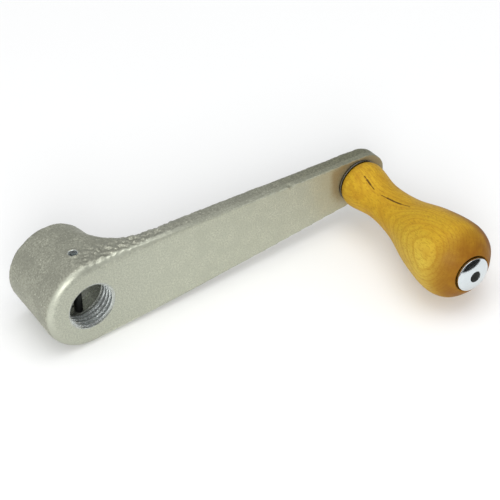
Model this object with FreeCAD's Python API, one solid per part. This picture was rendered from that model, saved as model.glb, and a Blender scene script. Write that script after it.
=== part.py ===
"""Hand crank with a cast arm and a free-turning wooden grip.

Frame: the origin is where the hub bore's axis meets the arm's flat front face.
+X runs along the arm from the hub to the grip, +Y from the front face to the
back of the hub, and +Z is up as the crank lies on its edge. The grip stands out
from the front face, towards -Y. Millimetres.
"""
import FreeCAD
import Part
import math
import os

V = FreeCAD.Vector
Y_AXIS = V(0, 1, 0)

# Cast arm
hub_front_radius = 22.6      # hub at the flat front face
hub_back_radius = 20.3       # hub at its back face, smaller by the casting draft
hub_length = 38.3            # front face to back face
tip_x = 151.4                # centre of the arm's rounded end
tip_radius = 11.7
arm_root_thickness = 11.6    # at the hub's axis
arm_tip_thickness = 10.1     # at the rounded end's centre
web_radius = 20.0            # hollow blend from the hub down to the back of the arm
web_foot_sink = 0.75         # how far the blend's foot runs into the arm
web_head_sink = 0.15         # and its head into the hub
front_edge_radius = 2.4
back_edge_radius = 3.4
hub_rim_radius = 1.2

# Hub bore
thread_minor_radius = 10.9   # crests of the internal thread at the mouth
mouth_radius = 12.4          # rim of the mouth's chamfer
mouth_chamfer = 1.0
thread_end_y = 10.4
relief_radius = 11.4         # clearance groove that the cross pin runs through
relief_end_y = 16.4
shaft_bore_radius = 10.9     # plain bore for the shaft, open at the back face
back_chamfer = 0.8

# Slotted spring pin across the hub
pin_y = 13.0
pin_radius = 2.0
pin_bore_radius = 1.2
pin_slot = 0.7
pin_top_z = 19.8
pin_bottom_z = -20.2
pin_chamfer = 0.4
pin_hole_countersink = 0.4   # depth of the chamfer where the pin goes in

# Grip and what holds it
grip_x = 147.6               # grip axis
washer_radius = 11.0
washer_thickness = 1.3
bolt_radius = 4.0
bolt_hole_radius = 4.2       # in the arm, the washers and the spacer sleeve
sleeve_radius = 6.0
grip_bore_radius = 6.1       # runs on the sleeve
grip_end_play = 0.15         # at each end of the grip
head_seat_y = -82.6          # underside of the bolt's head
head_radius = 8.5
head_edge = 3.2              # height of the head's straight side
head_dome = 2.0
socket_across_flats = 5.0
socket_depth = 3.8           # from the top of the dome
head_recess_radius = 9.0     # counterbore in the grip round the head
grip_end_y = -84.4

# Grip profile: distance from its inner end, and radius
grip_profile = [
    (0.0, 10.2),
    (1.2, 11.1),
    (4.6, 11.5),
    (18.6, 9.35),
    (35.2, 11.0),
    (52.2, 15.95),
    (68.3, 18.5),
    (76.0, 16.9),
    (80.6, 12.9),
    (82.95, 9.9),
]

# Thin nut and spring washer, seated behind the arm
spot_face_y = 8.0            # floor of the round seat sunk into the back of the arm
spot_face_radius = 9.0
lock_washer_radius = 7.0
lock_washer_thickness = 1.6
lock_washer_gap = 1.2
nut_across_flats = 13.0
nut_thickness = 4.0
nut_hole_radius = 4.05
nut_chamfer_angle = 30.0
bolt_end_y = 15.0
bolt_end_chamfer = 0.8

overcut = 1.0                # how far a cutting tool runs past the surface it cuts

draft = (hub_front_radius - hub_back_radius) / hub_length
washer_y = -washer_thickness
grip_start_y = washer_y - grip_end_play
nut_y = spot_face_y + lock_washer_thickness


def rod(radius, start_y, end_y, x=0.0):
    """A cylinder along Y."""
    return Part.makeCylinder(radius, end_y - start_y, V(x, start_y, 0), Y_AXIS)


def cone(start_radius, end_radius, start_y, end_y, x=0.0):
    """A cone's frustum along Y."""
    return Part.makeCone(start_radius, end_radius, end_y - start_y, V(x, start_y, 0), Y_AXIS)


def closed_face(points):
    """A flat face inside a closed run of straight edges."""
    return Part.Face(Part.makePolygon(points + [points[0]]))


def arm_sides(height):
    """The two flat drafted sides of the arm, as a wedge tangent to the hub and to the rounded end."""
    lean = math.asin((hub_front_radius - tip_radius) / tip_x)

    def outline(y):
        hub = hub_front_radius - draft * y
        tip = tip_radius - draft * y
        hub_point = (hub * math.sin(lean), hub * math.cos(lean))
        tip_point = (tip_x + tip * math.sin(lean), tip * math.cos(lean))
        corners = [hub_point, tip_point, (tip_point[0], -tip_point[1]), (hub_point[0], -hub_point[1])]
        points = [V(x, y, z) for x, z in corners]
        return Part.makePolygon(points + [points[0]])

    return Part.makeLoft([outline(0.0), outline(height)], True, True)


def drafted_cone(radius, height, x=0.0):
    """A round boss whose wall leans in by the casting draft."""
    return cone(radius, radius - draft * height, 0.0, height, x)


def arm_plate():
    """The flat arm, thinner towards its end, with its back edge rounded."""
    height = 2.0 * arm_root_thickness
    outline = arm_sides(height).fuse(drafted_cone(tip_radius, height, tip_x))
    slope = (arm_root_thickness - arm_tip_thickness) / tip_x
    left, right = -2.0 * hub_front_radius, tip_x + 2.0 * tip_radius
    behind = 4.0 * arm_root_thickness
    waste = closed_face([
        V(left, arm_root_thickness - slope * left, left),
        V(right, arm_root_thickness - slope * right, left),
        V(right, behind, left),
        V(left, behind, left),
    ]).extrude(V(0, 0, -2.0 * left))
    plate = outline.cut(waste).removeSplitter().Solids[0]
    back_edges = [
        e for e in plate.Edges
        if e.BoundBox.YMin > arm_tip_thickness / 2.0 and e.BoundBox.XMax > hub_front_radius
    ]
    return plate.makeFillet(back_edge_radius, back_edges)


def hub_web():
    """The hollow blend between the hub and the back of the arm, no wider than the arm."""
    foot_y = arm_root_thickness - web_foot_sink
    head_y = foot_y + web_radius
    head_radius_at_hub = hub_front_radius - draft * head_y - web_head_sink
    foot_radius = head_radius_at_hub + web_radius
    start_y = 2.0 * front_edge_radius
    middle = web_radius * math.sqrt(0.5)
    hollow = Part.Arc(
        V(-foot_radius, foot_y, 0),
        V(middle - foot_radius, head_y - middle, 0),
        V(-head_radius_at_hub, head_y, 0),
    ).toShape()
    rest = Part.makePolygon([
        V(-head_radius_at_hub, head_y, 0),
        V(0, head_y, 0),
        V(0, start_y, 0),
        V(-foot_radius, start_y, 0),
        V(-foot_radius, foot_y, 0),
    ])
    flare = Part.Face(Part.Wire([hollow] + rest.Edges)).revolve(V(0, 0, 0), Y_AXIS, 360)
    return arm_sides(head_y + overcut).common(flare)


def hub_bore():
    """Everything cut out along the hub's axis: mouth, thread, relief and shaft bore."""
    mouth_slope = (mouth_radius - thread_minor_radius) / mouth_chamfer
    mouth = cone(mouth_radius + overcut * mouth_slope, thread_minor_radius, -overcut, mouth_chamfer)
    thread = rod(thread_minor_radius, 0.0, thread_end_y)
    relief = rod(relief_radius, thread_end_y, relief_end_y)
    shaft_bore = rod(shaft_bore_radius, relief_end_y, hub_length)
    back_end = shaft_bore_radius + back_chamfer + overcut
    back = cone(shaft_bore_radius, back_end, hub_length - back_chamfer, hub_length + overcut)
    return mouth.fuse([thread, relief, shaft_bore, back])


def pin_hole():
    """The hole across both walls of the hub, countersunk where the pin goes in."""
    hub_radius = hub_front_radius - draft * pin_y
    hole = Part.makeCylinder(pin_radius, 4.0 * hub_radius, V(0, pin_y, -2.0 * hub_radius))
    sink_z = hub_radius - pin_hole_countersink
    sink = Part.makeCone(pin_radius, pin_radius + overcut, overcut, V(0, pin_y, sink_z))
    return hole.fuse(sink)


def crank_arm():
    """The casting: arm, hub, web, bores and the seats for the grip's bolt."""
    hub = drafted_cone(hub_front_radius, hub_length)
    casting = arm_plate().fuse([hub_web(), hub]).removeSplitter().Solids[0]
    front_edges = [e for e in casting.Edges if e.BoundBox.YMax < front_edge_radius / 4.0]
    casting = casting.makeFillet(front_edge_radius, front_edges)
    rim_edges = [e for e in casting.Edges if e.BoundBox.YMin > hub_length - hub_rim_radius / 4.0]
    casting = casting.makeFillet(hub_rim_radius, rim_edges)
    bolt_hole = rod(bolt_hole_radius, -arm_root_thickness, 2.0 * arm_root_thickness, grip_x)
    spot_face = rod(spot_face_radius, spot_face_y, 2.0 * arm_root_thickness, grip_x)
    return casting.cut([hub_bore(), pin_hole(), bolt_hole, spot_face]).removeSplitter().Solids[0]


def cross_pin():
    """Spring pin: a rolled steel tube, slit along its back."""
    length = pin_top_z - pin_bottom_z
    tube = Part.makeCylinder(pin_radius, length, V(0, pin_y, pin_bottom_z))
    tube = tube.makeChamfer(pin_chamfer, [e for e in tube.Edges if e.BoundBox.ZLength < pin_chamfer])
    bore = Part.makeCylinder(pin_bore_radius, 4.0 * length, V(0, pin_y, -2.0 * length))
    slit = Part.makeBox(pin_slot, 2.0 * pin_radius, 4.0 * length, V(-pin_slot / 2.0, pin_y, -2.0 * length))
    return tube.cut([bore, slit])


def grip():
    """Turned wooden grip, bored for the sleeve and counterbored for the bolt's head."""
    points = [V(grip_x + radius, grip_start_y - along, 0) for along, radius in grip_profile]
    curve = Part.BSplineCurve()
    curve.interpolate(points)
    ends = Part.makePolygon([points[-1], V(grip_x, points[-1].y, 0), V(grip_x, points[0].y, 0), points[0]])
    outline = Part.Wire([curve.toShape()] + ends.Edges)
    turned = Part.Face(outline).revolve(V(grip_x, 0, 0), Y_AXIS, 360)
    bore = rod(grip_bore_radius, 2.0 * grip_end_y, -grip_start_y, grip_x)
    recess = rod(head_recess_radius, 2.0 * grip_end_y, head_seat_y + grip_end_play, grip_x)
    return turned.cut([bore, recess])


def hexagon(across_flats, start_y, end_y, x):
    """A six-sided prism along Y, with flats above and below."""
    corner = across_flats / math.sqrt(3.0)
    angles = [math.radians(60.0 * side) for side in range(6)]
    points = [V(x + corner * math.cos(a), start_y, corner * math.sin(a)) for a in angles]
    return closed_face(points).extrude(V(0, end_y - start_y, 0))


def dome(y, x):
    """The low rounded top of the bolt's head, a slice of a ball facing -Y."""
    ball_radius = (head_radius ** 2 + head_dome ** 2) / (2.0 * head_dome)
    ball = Part.makeSphere(ball_radius, V(x, y - head_dome + ball_radius, 0))
    return ball.common(rod(head_radius, y - head_dome, y, x))


def grip_bolt():
    """Wide domed head with a hexagon socket, and a shank that reaches past the nut."""
    edge_y = head_seat_y - head_edge
    top_y = edge_y - head_dome
    shank = rod(bolt_radius, head_seat_y - overcut, bolt_end_y - bolt_end_chamfer, grip_x)
    point = cone(bolt_radius, bolt_radius - bolt_end_chamfer, bolt_end_y - bolt_end_chamfer, bolt_end_y, grip_x)
    head = rod(head_radius, edge_y, head_seat_y, grip_x).fuse(dome(edge_y, grip_x))
    socket = hexagon(socket_across_flats, top_y - overcut, top_y + socket_depth, grip_x)
    return head.fuse([shank, point]).cut(socket).removeSplitter().Solids[0]


def spacer_sleeve():
    """Steel tube that takes the bolt's clamping force, so the grip stays free."""
    tube = rod(sleeve_radius, head_seat_y, washer_y, grip_x)
    return tube.cut(rod(bolt_hole_radius, head_seat_y, washer_y, grip_x))


def inner_washer():
    """Flat washer between the grip and the arm."""
    disc = rod(washer_radius, washer_y, 0.0, grip_x)
    return disc.cut(rod(bolt_hole_radius, washer_y, 0.0, grip_x))


def lock_washer():
    """Split spring washer on the spot face behind the arm."""
    ring = rod(lock_washer_radius, spot_face_y, nut_y, grip_x)
    ring = ring.cut(rod(bolt_hole_radius, spot_face_y, nut_y, grip_x))
    gap = Part.makeBox(
        lock_washer_gap,
        lock_washer_thickness,
        2.0 * lock_washer_radius,
        V(grip_x - lock_washer_gap / 2.0, spot_face_y, 0),
    )
    return ring.cut(gap)


def lock_nut():
    """Hexagon nut, its corners bevelled on both faces."""
    end_y = nut_y + nut_thickness
    corner = nut_across_flats / math.sqrt(3.0)
    flat = nut_across_flats / 2.0
    bevel = (corner - flat) * math.tan(math.radians(nut_chamfer_angle))
    blank = hexagon(nut_across_flats, nut_y, end_y, grip_x)
    middle = rod(corner, nut_y + bevel, end_y - bevel, grip_x)
    inner_face = cone(flat, corner, nut_y, nut_y + bevel, grip_x)
    outer_face = cone(corner, flat, end_y - bevel, end_y, grip_x)
    nut = blank.common(middle.fuse([inner_face, outer_face]))
    return nut.cut(rod(nut_hole_radius, nut_y, end_y, grip_x)).removeSplitter().Solids[0]


PIECES = {
    "crank_arm": crank_arm,
    "cross_pin": cross_pin,
    "grip": grip,
    "grip_bolt": grip_bolt,
    "spacer_sleeve": spacer_sleeve,
    "inner_washer": inner_washer,
    "lock_washer": lock_washer,
    "lock_nut": lock_nut,
}


def main():
    """Makes every piece and writes each to its own STEP file."""
    os.makedirs("parts", exist_ok=True)
    for name, make in PIECES.items():
        shape = make()
        shape.exportStep(os.path.join("parts", name + ".step"))
        print(name, "valid" if shape.isValid() else "INVALID", round(shape.Volume, 1), "mm3")


main()
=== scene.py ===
"""Looks of the hand crank: a cast arm with a ground face, a turned wooden grip and its steel fittings."""

import math
from contextlib import contextmanager

import bmesh
import bpy
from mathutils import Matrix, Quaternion, Vector


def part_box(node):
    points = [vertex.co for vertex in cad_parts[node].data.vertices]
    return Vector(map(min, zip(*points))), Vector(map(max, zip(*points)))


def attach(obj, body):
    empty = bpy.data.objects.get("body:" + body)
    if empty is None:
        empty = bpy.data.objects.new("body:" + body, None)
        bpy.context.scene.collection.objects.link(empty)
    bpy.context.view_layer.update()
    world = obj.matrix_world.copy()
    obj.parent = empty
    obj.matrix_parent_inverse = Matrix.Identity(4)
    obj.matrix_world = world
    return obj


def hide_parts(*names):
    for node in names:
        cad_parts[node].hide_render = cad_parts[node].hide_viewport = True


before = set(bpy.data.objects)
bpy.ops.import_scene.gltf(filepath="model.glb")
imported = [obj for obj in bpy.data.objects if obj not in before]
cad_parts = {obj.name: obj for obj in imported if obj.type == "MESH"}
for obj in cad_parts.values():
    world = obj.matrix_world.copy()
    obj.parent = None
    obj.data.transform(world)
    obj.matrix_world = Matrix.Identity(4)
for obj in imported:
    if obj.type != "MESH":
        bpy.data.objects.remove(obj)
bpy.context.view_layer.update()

bl_info = {
    "name": "Hand Crank",
    "version": (1, 0, 0),
    "blender": (4, 5, 0),
    "location": "View3D > Sidebar > Hand Crank",
    "description": "Builds a cast hand crank with a turned wooden grip",
    "category": "Object",
}

MM = 0.001
TAU = 2.0 * math.pi
SAME_POINT = 0.002 * MM         # points closer than this are one

# Places that every piece shares, taken from the CAD parts in model.glb
ARM_LOW, ARM_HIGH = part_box("crank_arm")
GRIP_LOW, GRIP_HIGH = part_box("grip")
BOLT_LOW, BOLT_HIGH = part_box("grip_bolt")
PIN_LOW, PIN_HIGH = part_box("cross_pin")
WASHER_LOW, WASHER_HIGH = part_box("inner_washer")
SPRING_LOW, SPRING_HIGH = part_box("lock_washer")
NUT_LOW, NUT_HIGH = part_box("lock_nut")
GRIP_X = (BOLT_LOW.x + BOLT_HIGH.x) / 2.0
PIN_Y = (PIN_LOW.y + PIN_HIGH.y) / 2.0
HUB_LENGTH = ARM_HIGH.y
HUB_RADIUS = 22.6 * MM          # at the front face
HUB_DRAFT = 2.3 / 38.3          # how fast the cast walls lean in with depth
TIP_RADIUS = 11.7 * MM
TIP_X = 151.4 * MM
BOLT_HOLE = 4.2 * MM            # radius of every hole that the bolt passes through


# ---------------------------------------------------------------- settings

class CastingSettings(bpy.types.PropertyGroup):
    skin_colour: bpy.props.FloatVectorProperty(
        name="Cast skin", description="Colour of the rough tinned skin", subtype="COLOR", size=4,
        default=(0.40, 0.403, 0.325, 1.0), min=0.0, max=1.0)
    face_colour: bpy.props.FloatVectorProperty(
        name="Ground face", description="Colour of the flat front face", subtype="COLOR", size=4,
        default=(0.52, 0.535, 0.44, 1.0), min=0.0, max=1.0)
    bore_colour: bpy.props.FloatVectorProperty(
        name="Machined bore", description="Colour of the cut thread and bore", subtype="COLOR", size=4,
        default=(0.66, 0.70, 0.69, 1.0), min=0.0, max=1.0)
    grain_height: bpy.props.FloatProperty(
        name="Grain height", description="Depth of the sand-cast grain", unit="LENGTH", default=0.30 * MM)
    lump_height: bpy.props.FloatProperty(
        name="Lump height", description="Height of the tin lumps near the hub", unit="LENGTH",
        default=1.9 * MM)
    thread_pitch: bpy.props.FloatProperty(
        name="Thread pitch", description="Pitch of the thread in the hub's mouth", unit="LENGTH",
        default=2.3 * MM)


class GripSettings(bpy.types.PropertyGroup):
    pale_colour: bpy.props.FloatVectorProperty(
        name="Pale wood", description="Colour between the growth rings", subtype="COLOR", size=4,
        default=(0.55, 0.34, 0.020, 1.0), min=0.0, max=1.0)
    ring_colour: bpy.props.FloatVectorProperty(
        name="Growth ring", description="Colour of the growth ring lines", subtype="COLOR", size=4,
        default=(0.36, 0.175, 0.012, 1.0), min=0.0, max=1.0)
    # end grain colour, also used as painted shade at the grip's outer end and on its flank
    end_grain_and_shade_colour: bpy.props.FloatVectorProperty(
        name="End grain", description="Colour where the lacquer soaked into the end grain",
        subtype="COLOR", size=4, default=(0.19, 0.070, 0.004, 1.0), min=0.0, max=1.0)
    streak_colour: bpy.props.FloatVectorProperty(
        name="Pitch streak", description="Colour of the dark streaks in the neck", subtype="COLOR", size=4,
        default=(0.06, 0.02, 0.004, 1.0), min=0.0, max=1.0)


class FittingSettings(bpy.types.PropertyGroup):
    polished_colour: bpy.props.FloatVectorProperty(
        name="Polished steel", description="Colour of the bolt's polished head", subtype="COLOR", size=4,
        default=(0.68, 0.73, 0.75, 1.0), min=0.0, max=1.0)
    # partly a dark finish and partly painted shade: the washer between the arm and the grip is painted darker
    # than plated steel
    plated_and_shade_colour: bpy.props.FloatVectorProperty(
        name="Plated steel", description="Colour of the washers and the nut", subtype="COLOR", size=4,
        default=(0.14, 0.14, 0.13, 1.0), min=0.0, max=1.0)
    dark_colour: bpy.props.FloatVectorProperty(
        name="Blackened steel", description="Colour of the spring pin", subtype="COLOR", size=4,
        default=(0.035, 0.037, 0.035, 1.0), min=0.0, max=1.0)
    socket_across_flats: bpy.props.FloatProperty(
        name="Socket", description="Hexagon socket across flats", unit="LENGTH", default=5.0 * MM)


class StageSettings(bpy.types.PropertyGroup):
    floor_colour: bpy.props.FloatVectorProperty(
        name="Floor", description="Colour of the pale floor", subtype="COLOR", size=4,
        default=(0.86, 0.86, 0.85, 1.0), min=0.0, max=1.0)
    camera_azimuth: bpy.props.FloatProperty(
        name="Camera azimuth", description="Turn about the vertical from a straight front view",
        subtype="ANGLE", default=math.radians(-33.6))
    camera_elevation: bpy.props.FloatProperty(
        name="Camera elevation", description="Height of the camera above the horizon",
        subtype="ANGLE", default=math.radians(40.25))
    camera_roll: bpy.props.FloatProperty(
        name="Camera roll", description="Turn about the line of sight", subtype="ANGLE",
        default=math.radians(-2.4))
    camera_distance: bpy.props.FloatProperty(
        name="Camera distance", description="From the camera to the point it looks at", unit="LENGTH",
        default=1.0512)
    camera_aim: bpy.props.FloatVectorProperty(
        name="Camera aim", description="Point that the camera looks at", subtype="XYZ", unit="LENGTH",
        default=(0.06705, -0.02749, 0.01675))
    focal_length: bpy.props.FloatProperty(
        name="Focal length", description="Focal length of the camera in millimetres", default=170.4)


class CrankSettings(bpy.types.PropertyGroup):
    casting: bpy.props.PointerProperty(type=CastingSettings)
    grip: bpy.props.PointerProperty(type=GripSettings)
    fittings: bpy.props.PointerProperty(type=FittingSettings)
    stage: bpy.props.PointerProperty(type=StageSettings)


# ---------------------------------------------------------------- modelling by hand

def activate(piece):
    """Makes one object the only selected one."""
    if bpy.context.object and bpy.context.object.mode != "OBJECT":
        bpy.ops.object.mode_set(mode="OBJECT")
    bpy.ops.object.select_all(action="DESELECT")
    piece.select_set(True)
    bpy.context.view_layer.objects.active = piece


@contextmanager
def editing(piece):
    """Edit mode on one piece, with nothing selected at the start."""
    activate(piece)
    bpy.ops.object.mode_set(mode="EDIT")
    bpy.ops.mesh.select_all(action="DESELECT")
    yield
    bpy.ops.object.mode_set(mode="OBJECT")


def select_where(piece, kind, test):
    """In edit mode, selects the faces, edges or vertices that pass a test."""
    bpy.ops.mesh.select_mode(type=kind)
    bpy.ops.mesh.select_all(action="DESELECT")
    mesh = bmesh.from_edit_mesh(piece.data)
    for element in {"FACE": mesh.faces, "EDGE": mesh.edges, "VERT": mesh.verts}[kind]:
        element.select_set(test(element))
    bmesh.update_edit_mesh(piece.data)


def edge_within(edge, low, high):
    """True if both ends of an edge lie between two heights along Y."""
    return all(low <= v.co.y <= high for v in edge.verts)


def primitive(name, operator, **settings):
    """Adds one primitive by its operator, with its place put into its mesh."""
    bpy.ops.object.select_all(action="DESELECT")
    operator(**settings)
    piece = bpy.context.object
    piece.name = name
    bpy.ops.object.transform_apply(location=True, rotation=True, scale=True)
    return piece


def frustum(name, start_radius, end_radius, start_y, end_y, x=0.0, sides=128):
    """A cone's frustum along Y."""
    return primitive(
        name, bpy.ops.mesh.primitive_cone_add, vertices=sides, radius1=start_radius, radius2=end_radius,
        depth=end_y - start_y, location=(x, (start_y + end_y) / 2.0, 0.0), rotation=(-TAU / 4.0, 0.0, 0.0))


def path(name, origin, points):
    """A line through points beside an origin, drawn vertex by vertex."""
    bpy.ops.object.select_all(action="DESELECT")
    bpy.ops.mesh.primitive_plane_add(size=MM, location=origin)
    piece = bpy.context.object
    piece.name = name
    with editing(piece):
        bpy.ops.mesh.select_mode(type="VERT")
        bpy.ops.mesh.select_all(action="SELECT")
        bpy.ops.mesh.merge(type="CENTER")
        bpy.ops.transform.translate(value=points[0])
        for start, end in zip(points, points[1:]):
            stride = tuple(b - a for a, b in zip(start, end))
            bpy.ops.mesh.extrude_region_move(TRANSFORM_OT_translate={"value": stride})
    return piece


def profile(name, points, axis_x=0.0):
    """A line of (radius, y) points beside an axis along Y."""
    return path(name, (axis_x, 0.0, 0.0), [(radius, y, 0.0) for radius, y in points])


def turned(name, points, axis_x=0.0, steps=96):
    """A turned piece: a profile spun once round its axis. A closed profile repeats its first point."""
    piece = profile(name, points, axis_x)
    with editing(piece):
        bpy.ops.mesh.select_all(action="SELECT")
        bpy.ops.mesh.spin(steps=steps, angle=TAU, center=(axis_x, 0.0, 0.0), axis=(0.0, 1.0, 0.0))
        close_up()
    bpy.ops.object.transform_apply(location=True, rotation=True, scale=True)
    return piece


def close_up():
    """In edit mode, merges doubles and turns every face outwards."""
    bpy.ops.mesh.select_all(action="SELECT")
    bpy.ops.mesh.remove_doubles(threshold=SAME_POINT)
    bpy.ops.mesh.normals_make_consistent(inside=False)


def helix_ridge(name, foot, ridge, start_y, end_y, pitch):
    """A right-hand thread's ridge from one radius to another, closed at both ends."""
    crest = pitch / 16.0
    wide = abs(ridge - foot) * math.tan(math.radians(30.0)) + crest
    points = [(foot, -wide), (ridge, -crest), (ridge, crest), (foot, wide), (foot, -wide)]
    piece = profile(name, [(r, y + start_y) for r, y in points])
    with editing(piece):
        bpy.ops.mesh.select_all(action="SELECT")
        bpy.ops.mesh.remove_doubles(threshold=SAME_POINT)
    turns = max(1, round((end_y - start_y) / pitch))
    shape(piece, "SCREW", axis="Y", angle=TAU, screw_offset=pitch, iterations=turns, steps=72, render_steps=72)
    with editing(piece):
        bpy.ops.mesh.select_all(action="SELECT")
        bpy.ops.mesh.fill_holes(sides=4)
        close_up()
        turn_off_seam()
    bpy.ops.object.transform_apply(location=True, rotation=True, scale=True)
    return piece


def turn_off_seam(axis_x=0.0):
    """In edit mode, turns a cutter a little, so that its edges don't lie along those of what it cuts."""
    bpy.ops.mesh.select_all(action="SELECT")
    bpy.ops.transform.rotate(value=math.radians(1.3), orient_axis="Y", center_override=(axis_x, 0.0, 0.0))


def shape(piece, kind, **settings):
    """Adds a modifier, sets it and applies it."""
    activate(piece)
    modifier = piece.modifiers.new(kind.title(), kind)
    for key, value in settings.items():
        setattr(modifier, key, value)
    bpy.ops.object.modifier_apply(modifier=modifier.name)


def boolean(piece, other, operation):
    """Cuts, adds or intersects with another object, which is used up."""
    shape(piece, "BOOLEAN", object=other, operation=operation, solver="EXACT")
    bpy.data.objects.remove(other)


def join(pieces):
    """Joins objects into the first one."""
    activate(pieces[0])
    for piece in pieces[1:]:
        piece.select_set(True)
    bpy.ops.object.join()
    return pieces[0]


def smooth(piece, angle=30.0):
    """Smooth shading, with edges kept where faces meet more sharply than an angle in degrees."""
    activate(piece)
    bpy.ops.object.shade_smooth_by_angle(angle=math.radians(angle))


def check_closed(piece):
    """Stops the script if a mesh is inside out, or has over one bad edge to a thousand triangles."""
    mesh = bmesh.new()
    mesh.from_mesh(piece.data)
    bad = sum(1 for e in mesh.edges if len(e.link_faces) != 2)
    triangles = sum(len(f.verts) - 2 for f in mesh.faces)
    volume = mesh.calc_volume(signed=True)
    mesh.free()
    report = f"{piece.name}: {triangles} triangles, {bad} bad edges, {volume * 1e9:.0f} mm3"
    print(report)
    if volume <= 0.0 or bad > triangles / 1000:
        raise RuntimeError(report)


def arc(centre, radius, start, end, steps):
    """Points on an arc round a centre, from one angle to another in degrees."""
    angles = [math.radians(start + (end - start) * i / steps) for i in range(steps + 1)]
    return [(centre[0] + radius * math.cos(a), centre[1] + radius * math.sin(a)) for a in angles]


# ---------------------------------------------------------------- materials

class Nodes:
    """A short way to write a node material."""

    def __init__(self, name):
        self.material = bpy.data.materials.new(name)
        self.material.use_nodes = True
        self.tree = self.material.node_tree
        self.shader = self.tree.nodes["Principled BSDF"]
        self.place = self.tree.nodes.new("ShaderNodeTexCoord").outputs["Object"]

    def add(self, kind, inputs=None, **settings):
        """A node with its settings, and with values or links fed to its inputs."""
        node = self.tree.nodes.new("ShaderNode" + kind)
        for key, value in settings.items():
            setattr(node, key, value)
        for key, value in (inputs or {}).items():
            self.feed(node.inputs[key], value)
        return node

    def feed(self, socket, value):
        """Links an input to another node's output, or sets its value."""
        if isinstance(value, bpy.types.NodeSocket):
            self.tree.links.new(value, socket)
        else:
            socket.default_value = value

    def math(self, operation, a, b=0.0):
        return self.add("Math", {0: a, 1: b}, operation=operation).outputs[0]

    def plus(self, a, b):
        return self.math("ADD", a, b)

    def minus(self, a, b):
        return self.math("SUBTRACT", a, b)

    def times(self, a, b):
        return self.math("MULTIPLY", a, b)

    def vector(self, operation, a, b):
        """A vector worked out from two vectors."""
        return self.add("VectorMath", {0: a, 1: b}, operation=operation).outputs["Vector"]

    def measure(self, operation, a, b=(0.0, 0.0, 0.0)):
        """A number worked out from one or two vectors."""
        return self.add("VectorMath", {0: a, 1: b}, operation=operation).outputs["Value"]

    def split(self, vector):
        """The X, Y and Z of a vector."""
        return tuple(self.add("SeparateXYZ", {0: vector}).outputs)

    def mix(self, factor, a, b):
        """Colour a where the factor is 0 and colour b where it is 1."""
        node = self.add("Mix", data_type="RGBA")
        self.feed(node.inputs[0], factor)
        self.feed(node.inputs[6], a)
        self.feed(node.inputs[7], b)
        return node.outputs[2]

    def step(self, value, low, high):
        """A smooth rise from 0 at low to 1 at high."""
        node = self.add("MapRange", {"Value": value, "From Min": low, "From Max": high})
        node.interpolation_type = "SMOOTHSTEP"
        return node.outputs["Result"]

    def noise(self, size, detail, stretch=(1.0, 1.0, 1.0), roughness=0.5, place=None):
        """Noise whose features are about a size across, in metres."""
        scaled = self.add("Mapping", {"Vector": place or self.place, "Scale": stretch}).outputs[0]
        return self.add("TexNoise", {
            "Vector": scaled, "Scale": 1.0 / size, "Detail": detail, "Roughness": roughness}).outputs[0]

    def wander(self, noise, reach):
        """Noise made into a shift to either side of nothing."""
        return self.times(self.minus(noise, 0.5), reach)

    def cells(self, size):
        """Distance to the nearest of scattered points about a size apart."""
        return self.add("TexVoronoi", {"Vector": self.place, "Scale": 1.0 / size}).outputs["Distance"]

    def bump(self, height, distance, strength, under=None):
        """A bumpy normal, laid over another one if there is one."""
        inputs = {"Height": height, "Distance": distance, "Strength": strength}
        if under is not None:
            inputs["Normal"] = under
        return self.add("Bump", inputs).outputs[0]

    def surface(self, **values):
        """Feeds the shader's inputs, named with underscores, and gives the finished material."""
        for key, value in values.items():
            self.feed(self.shader.inputs[key.replace("_", " ")], value)
        return self.material


def shade(colour, factor):
    """A colour made lighter or darker."""
    return tuple(min(1.0, c * factor) for c in colour[:3]) + (1.0,)


ARM_END_COLOURS = ((0.16, 0.16, 0.11, 1.0), (0.25, 0.25, 0.17, 1.0))
# painted shadow and painted reflection of the wooden grip on the face round the washer
WASHER_SHADOW_AND_REFLECTION = (                # distances in millimetres where it starts and is full, strength, and colour
    (34.0, 16.0, 0.30, (0.52, 0.45, 0.25, 1.0)),
    (19.0, 12.0, 0.65, (0.30, 0.20, 0.06, 1.0)),
)


def wall_colour(n, base, along, grain, glints):
    """Grey of the rough walls: cloudy, dark between the grains, with painted highlights on glint specks, and
    darker at the arm's end.
    """
    colour = n.mix(n.step(n.noise(9.0 * MM, 3.0), 0.35, 0.65), shade(base, 0.86), shade(base, 1.14))
    colour = n.mix(n.step(grain, 0.36, 0.66), shade(base, 0.70), colour)
    # painted highlight: glint specks are painted half-way to a far brighter grey
    colour = n.mix(n.times(glints, 0.5), colour, shade(base, 1.9))
    end = n.mix(n.step(grain, 0.4, 0.6), *ARM_END_COLOURS)
    return n.mix(n.step(along, 70.0 * MM, 152.0 * MM), colour, end)


def edge_highlight_and_shade(n, front, along, high, speckle):
    """Grey of the front edge, with painted light: a painted highlight, brightest along the arm, and painted
    shade low down beside the hub.
    """
    colour = n.mix(n.step(speckle, 0.3, 0.7), shade(front, 0.90), shade(front, 1.06))
    # painted shade: the edge is painted darker low down
    colour = n.mix(n.step(high, -8.0 * MM, 6.0 * MM), shade(front, 0.8), colour)
    # painted highlight: along the arm the edge is painted brighter than the face
    return n.mix(n.step(along, -2.0 * MM, 14.0 * MM), colour, shade(front, 1.2))


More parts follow.
